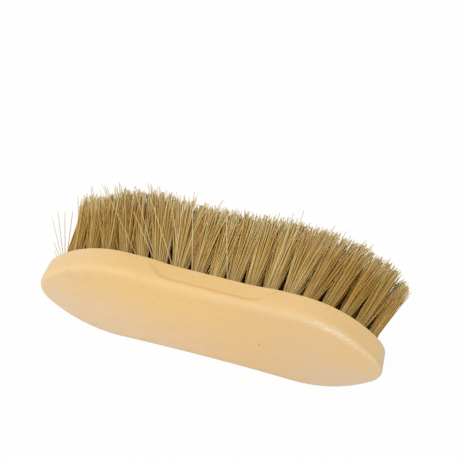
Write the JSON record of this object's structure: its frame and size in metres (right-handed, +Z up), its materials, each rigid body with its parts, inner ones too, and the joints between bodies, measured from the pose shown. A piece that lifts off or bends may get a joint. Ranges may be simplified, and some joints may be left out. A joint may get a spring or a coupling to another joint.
{
  "type": "dandy brush",
  "caption": "Boat-shaped wooden hand brush with finger grooves and long stiff bristle tufts set in drilled holes, lying on its side.",
  "frame": {"origin": "on the surface the brush lies on, under the middle of its overall box; it lies on one long side of its block", "axes": "+X along the block, +Y the way the bristles point, +Z up, across the block's width"},
  "size_m": [0.205, 0.068, 0.064],
  "materials": {
    "lacquered_wood": "satin",
    "stiff_bristle": "matte"
  },
  "bodies": {
    "root": {"wooden_block": "lacquered_wood", "outer_tuft_01": "stiff_bristle", "outer_tuft_02": "stiff_bristle", "outer_tuft_03": "stiff_bristle", "outer_tuft_04": "stiff_bristle", "outer_tuft_05": "stiff_bristle", "outer_tuft_06": "stiff_bristle", "outer_tuft_07": "stiff_bristle", "outer_tuft_08": "stiff_bristle", "outer_tuft_09": "stiff_bristle", "outer_tuft_10": "stiff_bristle", "outer_tuft_11": "stiff_bristle", "outer_tuft_12": "stiff_bristle", "outer_tuft_13": "stiff_bristle", "outer_tuft_14": "stiff_bristle", "outer_tuft_15": "stiff_bristle", "outer_tuft_16": "stiff_bristle", "outer_tuft_17": "stiff_bristle", "outer_tuft_18": "stiff_bristle", "outer_tuft_19": "stiff_bristle", "outer_tuft_20": "stiff_bristle", "outer_tuft_21": "stiff_bristle", "outer_tuft_22": "stiff_bristle", "outer_tuft_23": "stiff_bristle", "outer_tuft_24": "stiff_bristle", "outer_tuft_25": "stiff_bristle", "outer_tuft_26": "stiff_bristle", "outer_tuft_27": "stiff_bristle", "outer_tuft_28": "stiff_bristle", "outer_tuft_29": "stiff_bristle", "outer_tuft_30": "stiff_bristle", "outer_tuft_31": "stiff_bristle", "outer_tuft_32": "stiff_bristle", "outer_tuft_33": "stiff_bristle", "outer_tuft_34": "stiff_bristle", "outer_tuft_35": "stiff_bristle", "outer_tuft_36": "stiff_bristle", "outer_tuft_37": "stiff_bristle", "outer_tuft_38": "stiff_bristle", "inner_tuft_01": "stiff_bristle", "inner_tuft_02": "stiff_bristle", "inner_tuft_03": "stiff_bristle", "inner_tuft_04": "stiff_bristle", "inner_tuft_05": "stiff_bristle", "inner_tuft_06": "stiff_bristle", "inner_tuft_07": "stiff_bristle", "inner_tuft_08": "stiff_bristle", "inner_tuft_09": "stiff_bristle", "inner_tuft_10": "stiff_bristle", "inner_tuft_11": "stiff_bristle", "inner_tuft_12": "stiff_bristle", "inner_tuft_13": "stiff_bristle", "inner_tuft_14": "stiff_bristle", "inner_tuft_15": "stiff_bristle", "inner_tuft_16": "stiff_bristle", "inner_tuft_17": "stiff_bristle", "inner_tuft_18": "stiff_bristle", "inner_tuft_19": "stiff_bristle", "inner_tuft_20": "stiff_bristle", "inner_tuft_21": "stiff_bristle"}
  },
  "joints": []
}
